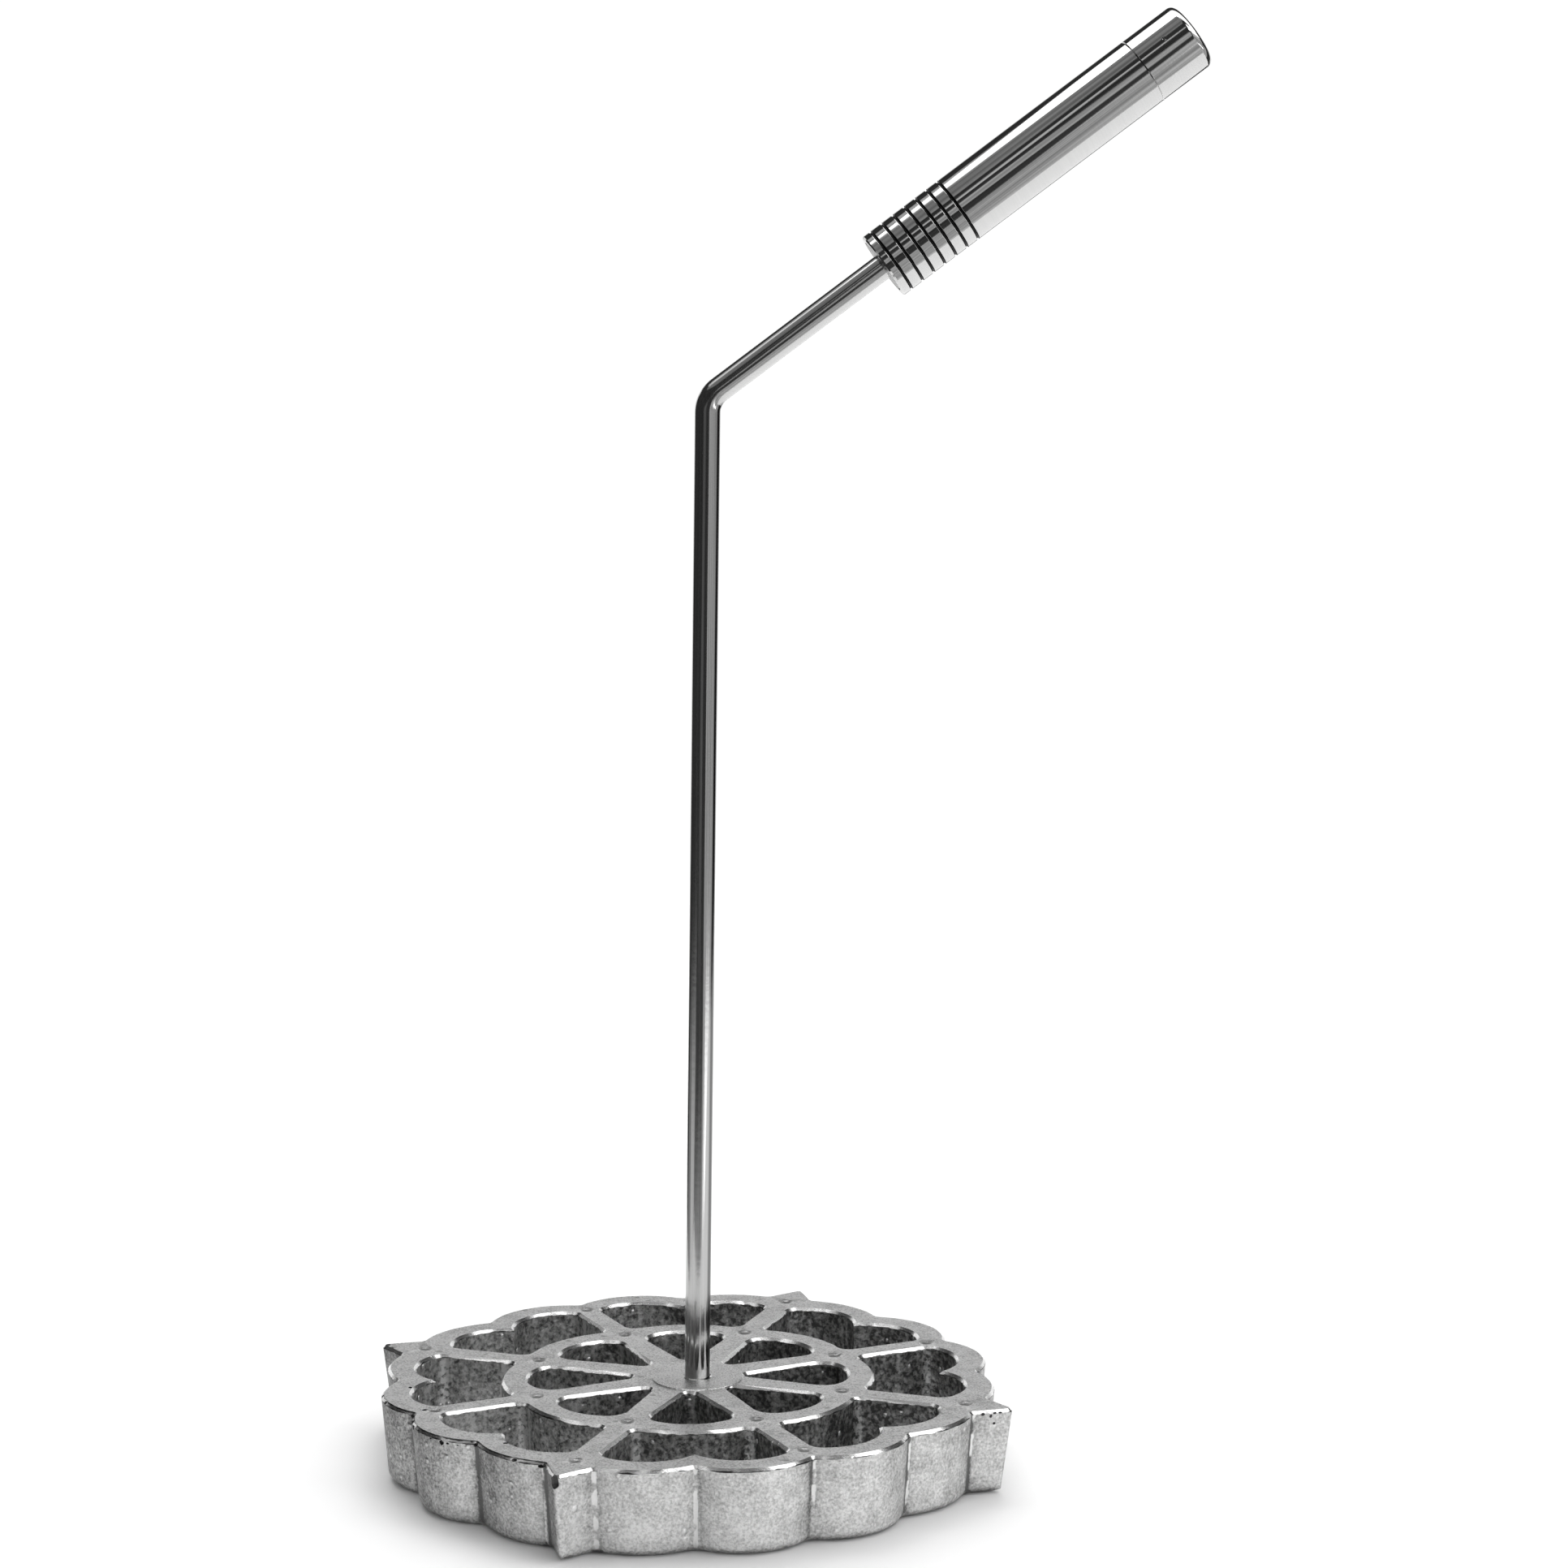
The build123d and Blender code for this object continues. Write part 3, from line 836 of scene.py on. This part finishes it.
def biteChips(bm):
    # takes the lumps out of the head and gives back its finished mesh
    holders = []
    for name, shape in (("uncut", bm), ("chipCutters", chipCutters(bm))):
        mesh = bpy.data.meshes.new(name)
        shape.to_mesh(mesh)
        shape.free()
        for material in headMaterials:
            mesh.materials.append(material)
        holders.append(bpy.data.objects.new(name, mesh))
        show(holders[-1])
    uncut, cutter = holders
    cut = uncut.modifiers.new("chips", "BOOLEAN")
    cut.object, cut.operation, cut.solver = cutter, "DIFFERENCE", "EXACT"
    cut.material_mode = "INDEX"
    ready = uncut.evaluated_get(bpy.context.evaluated_depsgraph_get())
    finished = bpy.data.meshes.new_from_object(ready)
    finished.name = "castHead"
    for holder in holders:
        mesh = holder.data
        bpy.data.objects.remove(holder)
        bpy.data.meshes.remove(mesh)
    return finished


def outlineSurfaces(mesh):
    # the borders between the surfaces and the rims of the chips are crisp
    bm = bmesh.new()
    bm.from_mesh(mesh)
    for rim in bm.edges:
        if len({face.material_index for face in rim.link_faces}) == 2:
            rim.smooth = False
    bm.to_mesh(mesh)
    bm.free()


def makeHead():
    noise.seed_set(castHead["seed"])
    bm = copiedHead()
    headSurfaces(bm)
    flattenWalls(bm)
    dressEdges(bm)
    mesh = biteChips(bm)
    piece = putMesh("castHead", mesh, "rosette_head", castHead["sharpAngle"])
    outlineSurfaces(mesh)
    even = piece.modifiers.new("evenNormals", "WEIGHTED_NORMAL")
    even.mode, even.keep_sharp = "FACE_AREA", True
    return piece


head = makeHead()
print("head made,", len(head.data.polygons), "faces")


# The rod: one wire, bent once, with its foot in the head and its tail in the handle
steelRod = {
    "radius": 2.0 * mm,
    "sides": 64,
    "endEdge": 0.4 * mm,
    "footDepth": 8.85 * mm,  # below the top face
    "tail": 16.5 * mm,  # inside the handle
    "bendSteps": 28,
    "straightStep": 6 * mm,
}


def makeRod():
    radius, edge, bendRadius = steelRod["radius"], steelRod["endEdge"], line["bendRadius"]
    bendAngle = pi / 2 - line["rise"] - line["lean"]
    tangent = bendRadius * tan(bendAngle / 2)
    footLength = steelRod["footDepth"] + line["height"] / leanWay.z - tangent
    tailLength = line["reach"] + steelRod["tail"] - tangent
    bm = bmesh.new()
    straight = bm.verts.layers.float_vector.new("straight")
    made = bmesh.ops.create_circle(bm, cap_ends=True, segments=steelRod["sides"], radius=radius - edge)["verts"]
    for corner in made:
        corner[straight] = Vector((0, corner.co.x, corner.co.y))
    ring = list(bm.edges)

    def grow(ring, length, wider=0.0, way=Vector((0, 0, 1)), turn=None):
        # extrudes the open end, moves or turns it, and notes how far along the wire it is
        new = bmesh.ops.extrude_edge_only(bm, edges=ring)["geom"]
        corners = [item for item in new if isinstance(item, bmesh.types.BMVert)]
        ring = [item for item in new if isinstance(item, bmesh.types.BMEdge)]
        if turn:
            centre, angle = turn
            bmesh.ops.rotate(bm, verts=corners, cent=centre, matrix=Matrix.Rotation(angle, 3, "Y"))
        else:
            bmesh.ops.translate(bm, verts=corners, vec=way * length)
        if wider:
            middle = sum((corner.co for corner in corners), Vector()) / len(corners)
            for corner in corners:
                corner.co += (corner.co - middle).normalized() * wider
                corner[straight] = corner[straight] * (1 + wider / radius)
        for corner in corners:
            corner[straight] = corner[straight] + Vector((length, 0, 0))
        return ring

    ring = grow(ring, edge, wider=edge)
    steps = round(footLength / steelRod["straightStep"])
    for step in range(steps):
        ring = grow(ring, (footLength - edge) / steps)
    centre = Vector((bendRadius, 0, footLength))
    turn = bendAngle / steelRod["bendSteps"]
    for step in range(steelRod["bendSteps"]):
        ring = grow(ring, turn * bendRadius, turn=(centre, turn))
    way = Vector((sin(bendAngle), 0, cos(bendAngle)))
    steps = round(tailLength / steelRod["straightStep"])
    for step in range(steps):
        ring = grow(ring, (tailLength - edge) / steps, way=way)
    ring = grow(ring, edge, wider=-edge, way=way)
    bmesh.ops.holes_fill(bm, edges=ring, sides=0)
    foot = line["foot"] - leanWay * steelRod["footDepth"]
    place = Matrix.Translation(foot) @ Matrix.Rotation(line["lean"], 4, "Y")
    bmesh.ops.transform(bm, matrix=place, verts=bm.verts)
    bmesh.ops.recalc_face_normals(bm, faces=bm.faces)
    putPiece("steelRod", bm, (drawnSteel,), "bent_rod")


makeRod()
print("rod made")


# The handle: a turned tube with seven grooves, and a cap pressed into its end
handle = {
    "radius": 5.5 * mm,
    "bore": 4.5 * mm,
    "tube": 49.6 * mm,
    "cap": 9.6 * mm,
    "frontEdge": 0.25 * mm,
    "seamEdge": 0.12 * mm,
    "capEdge": 1.1 * mm,
    "capEdgeSteps": 10,
    "spigot": 8.0 * mm,
    "spigotEdge": 0.5 * mm,
    "plug": 4.48 * mm,  # the spigot's radius
    "grooves": 7,
    "grooveStart": 1.5 * mm,
    "groovePitch": 2.13 * mm,
    "grooveWidth": 0.45 * mm,
    "grooveDepth": 0.28 * mm,
    "grooveSteps": 8,
    "lip": 0.05 * mm,  # rounding of the grooves' edges
    "hold": 0.03 * mm,  # narrow bands that keep the long faces' shading straight
    "sides": 160,
    # faces between these distances from the axis, and short of the tube's end, are groove floors
    "groovePlace": (4.8 * mm, 5.49 * mm),
    "grooveStop": 48.6 * mm,
    "merge": 0.001 * mm,
    "sharpAngle": radians(38),
}


def spunPiece(profile, closed):
    # turns a line of (distance from the front, radius) round the handle's axis
    bm = bmesh.new()
    corners = [bm.verts.new((along, 0, radius)) for along, radius in profile]
    edges = [bm.edges.new(pair) for pair in zip(corners, corners[1:])]
    if closed:
        edges.append(bm.edges.new((corners[-1], corners[0])))
    bmesh.ops.spin(bm, geom=corners + edges, cent=(0, 0, 0), axis=(1, 0, 0), angle=2 * pi,
                   steps=handle["sides"], use_merge=True)
    bmesh.ops.remove_doubles(bm, verts=bm.verts, dist=handle["merge"])
    bmesh.ops.recalc_face_normals(bm, faces=bm.faces)
    straight = bm.verts.layers.float_vector.new("straight")
    for corner in bm.verts:
        corner[straight] = corner.co
    low, high = handle["groovePlace"]
    for face in bm.faces:
        middle = face.calc_center_median()
        alongGrooves = handle["frontEdge"] < middle.x < handle["grooveStop"]
        if alongGrooves and low < hypot(middle.y, middle.z) < high:
            face.material_index = 1
    place = Matrix.Translation(handleFront) @ Matrix.Rotation(-line["rise"], 4, "Y")
    bmesh.ops.transform(bm, matrix=place, verts=bm.verts)
    return bm


def makeTube():
    radius, bore, lip, hold = handle["radius"], handle["bore"], handle["lip"], handle["hold"]
    start, end, seam = handle["frontEdge"], handle["tube"], handle["seamEdge"]
    half, depth = handle["grooveWidth"] / 2, handle["grooveDepth"]
    profile = [(0, bore), (0, radius - start), (start, radius), (start + hold, radius)]
    for groove in range(handle["grooves"]):
        middle = handle["grooveStart"] + groove * handle["groovePitch"]
        profile += [(middle - half - lip - hold, radius), (middle - half - lip, radius)]
        profile.append((middle - half - 0.3 * lip, radius - 0.25 * lip))
        for step in range(handle["grooveSteps"] + 1):
            turn = pi * step / handle["grooveSteps"]
            profile.append((middle - half * cos(turn), radius - lip - (depth - lip) * sin(turn)))
        profile.append((middle + half + 0.3 * lip, radius - 0.25 * lip))
        profile += [(middle + half + lip, radius), (middle + half + lip + hold, radius)]
    profile += [(end - seam - hold, radius), (end - seam, radius), (end, radius - seam), (end, bore)]
    bm = spunPiece(profile, closed=True)
    putPiece("gripTube", bm, (chrome, grooveShade), "handle_tube", handle["sharpAngle"])


def makeCap():
    radius, hold, seam = handle["radius"], handle["hold"], handle["seamEdge"]
    start, end, edge = handle["tube"], handle["tube"] + handle["cap"], handle["capEdge"]
    inner, plug, spigotEdge = start - handle["spigot"], handle["plug"], handle["spigotEdge"]
    profile = [(inner, 0), (inner, plug - spigotEdge), (inner + spigotEdge, plug), (start, plug)]
    profile += [(start, radius - seam), (start + seam, radius), (start + seam + hold, radius)]
    profile.append((end - edge - hold, radius))
    for step in range(handle["capEdgeSteps"] + 1):
        turn = pi / 2 * step / handle["capEdgeSteps"]
        profile.append((end - edge + edge * sin(turn), radius - edge + edge * cos(turn)))
    profile.append((end, 0))
    bm = spunPiece(profile, closed=False)
    putPiece("endCap", bm, (chrome,), "end_cap", handle["sharpAngle"])


makeTube()
makeCap()
print("handle made")


# The bush and the nut keep the solid model's shapes
for nodeName in ("front_bush", "lock_nut"):
    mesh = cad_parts[nodeName].data
    mesh.materials.clear()
    mesh.materials.append(turnedSteel)
print("bush and nut finished")
